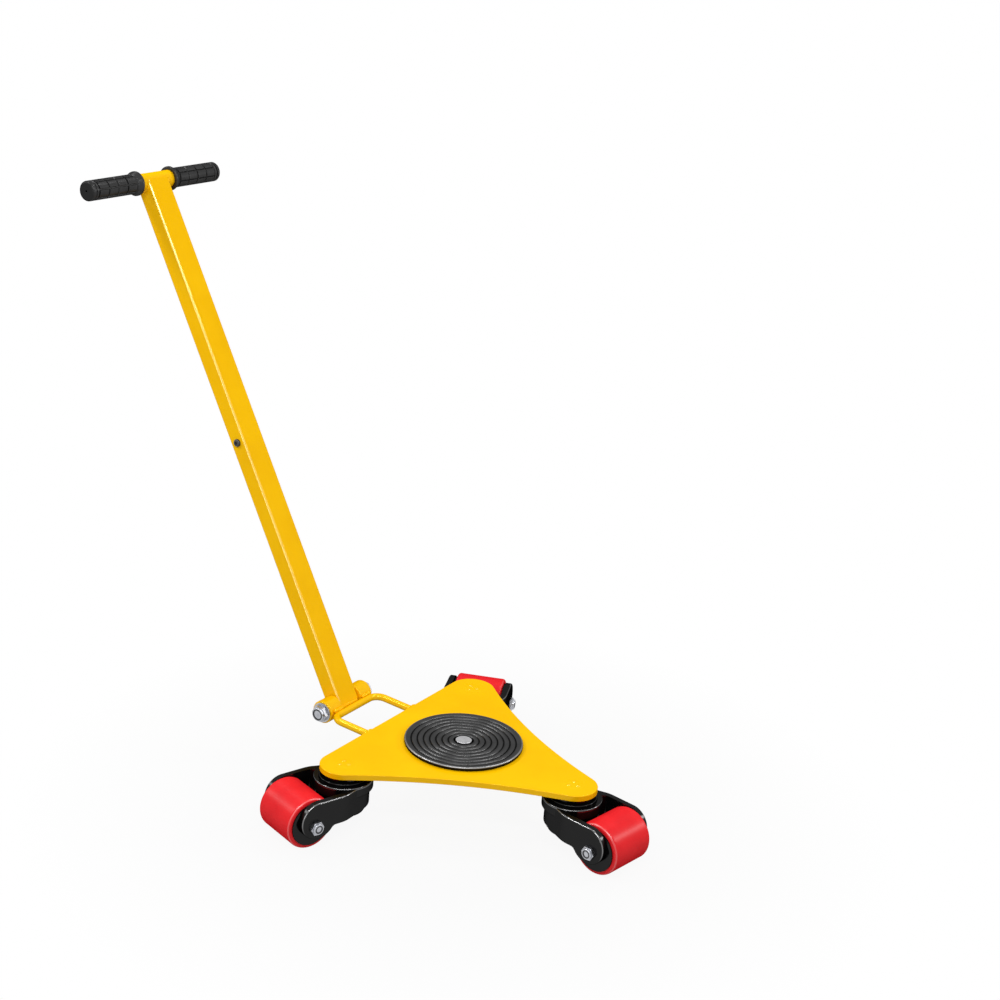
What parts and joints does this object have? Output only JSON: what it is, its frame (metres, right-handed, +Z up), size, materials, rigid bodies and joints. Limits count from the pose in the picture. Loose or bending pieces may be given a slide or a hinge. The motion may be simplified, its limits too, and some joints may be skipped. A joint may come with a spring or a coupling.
{
  "type": "steerable machine skate",
  "caption": "Steerable machine skate: triangular steel deck with a rubber-faced turntable, swivel casters with wide red wheels, and a hinged towing handle with a T-bar.",
  "frame": {"origin": "centre of the turntable's load face, on the top of its ridges and bolt head", "axes": "+Z up, +X towards the tow loop and handle, +Y to the left when facing the handle"},
  "size_m": [0.873, 0.5215, 0.7715],
  "materials": {
    "yellow_paint": "gloss yellow enamel on steel",
    "black_paint": "satin black paint on cast iron and plate",
    "red_polyurethane": "smooth cast polyurethane",
    "cast_core": "turned cast iron",
    "pad_rubber": "moulded ring-grooved rubber",
    "grip_rubber": "moulded soft grip rubber",
    "black_steel": "blackened steel",
    "zinc_steel": "bright zinc plate",
    "bright_steel": "turned and ground steel",
    "bush_bronze": "turned bronze",
    "slide_plastic": "smooth slide plastic"
  },
  "bodies": {
    "deck": {"deck_plate": "yellow_paint", "tow_loop": "yellow_paint", "hinge_barrels": "yellow_paint", "hinge_bolt": "zinc_steel", "hinge_nut": "zinc_steel", "hinge_washers": "zinc_steel", "slide_washer": "slide_plastic", "centre_bolt": "bright_steel", "centre_washer": "zinc_steel", "centre_nut": "zinc_steel", "lock_rings": "zinc_steel", "lock_washers": "zinc_steel", "swivel_pin_left": "bright_steel", "swivel_pin_rear": "bright_steel", "swivel_pin_right": "bright_steel", "upper_race_left": "black_paint", "upper_race_rear": "black_paint", "upper_race_right": "black_paint"},
    "turntable": {"turntable_pad": "pad_rubber", "turntable_disc": "black_paint"},
    "handle": {"hinge_knuckle": "yellow_paint", "handle_lower_tube": "yellow_paint", "handle_upper_tube": "yellow_paint", "joining_pins": "bright_steel", "joining_screws": "black_steel", "cross_bar": "yellow_paint", "grip_left": "grip_rubber", "grip_right": "grip_rubber"},
    "caster_left": {"thrust_cage_left": "black_paint", "lower_race_left": "black_paint", "swivel_bush_left": "bush_bronze", "fork_left": "black_paint", "side_discs_left": "black_paint", "axle_bolt_left": "zinc_steel", "axle_nut_left": "zinc_steel"},
    "wheel_left": {"tyre_left": "red_polyurethane", "wheel_core_left": "cast_core", "wheel_bearings_left": "bright_steel"},
    "caster_rear": {"thrust_cage_rear": "black_paint", "lower_race_rear": "black_paint", "swivel_bush_rear": "bush_bronze", "fork_rear": "black_paint", "side_discs_rear": "black_paint", "axle_bolt_rear": "zinc_steel", "axle_nut_rear": "zinc_steel"},
    "wheel_rear": {"tyre_rear": "red_polyurethane", "wheel_core_rear": "cast_core", "wheel_bearings_rear": "bright_steel"},
    "caster_right": {"thrust_cage_right": "black_paint", "lower_race_right": "black_paint", "swivel_bush_right": "bush_bronze", "fork_right": "black_paint", "side_discs_right": "black_paint", "axle_bolt_right": "zinc_steel", "axle_nut_right": "zinc_steel"},
    "wheel_right": {"tyre_right": "red_polyurethane", "wheel_core_right": "cast_core", "wheel_bearings_right": "bright_steel"}
  },
  "joints": [
    {"name": "handle_pivot", "type": "hinge", "parent": "deck", "child": "handle", "pos_m": [0.2045, 0, -0.01], "axis": [0, 1, 0], "range_deg": [-52, 64]},
    {"name": "turntable_spin", "type": "hinge", "parent": "deck", "child": "turntable", "pos_m": [0, 0, -0.004], "axis": [0, 0, 1], "continuous": true},
    {"name": "swivel_left", "type": "hinge", "parent": "deck", "child": "caster_left", "pos_m": [0.0866, 0.15, -0.014], "axis": [0, 0, 1], "continuous": true},
    {"name": "roll_left", "type": "hinge", "parent": "caster_left", "child": "wheel_left", "pos_m": [0.10917, 0.21785, -0.057], "axis": [-0.9489, 0.3156, 0], "continuous": true},
    {"name": "swivel_rear", "type": "hinge", "parent": "deck", "child": "caster_rear", "pos_m": [-0.1732, 0, -0.014], "axis": [0, 0, 1], "continuous": true},
    {"name": "roll_rear", "type": "hinge", "parent": "caster_rear", "child": "wheel_rear", "pos_m": [-0.24377, 0.01149, -0.057], "axis": [-0.1607, -0.987, 0], "continuous": true},
    {"name": "swivel_right", "type": "hinge", "parent": "deck", "child": "caster_right", "pos_m": [0.0866, -0.15, -0.014], "axis": [0, 0, 1], "continuous": true},
    {"name": "roll_right", "type": "hinge", "parent": "caster_right", "child": "wheel_right", "pos_m": [0.11437, -0.21589, -0.057], "axis": [0.9215, 0.3883, 0], "continuous": true}
  ]
}
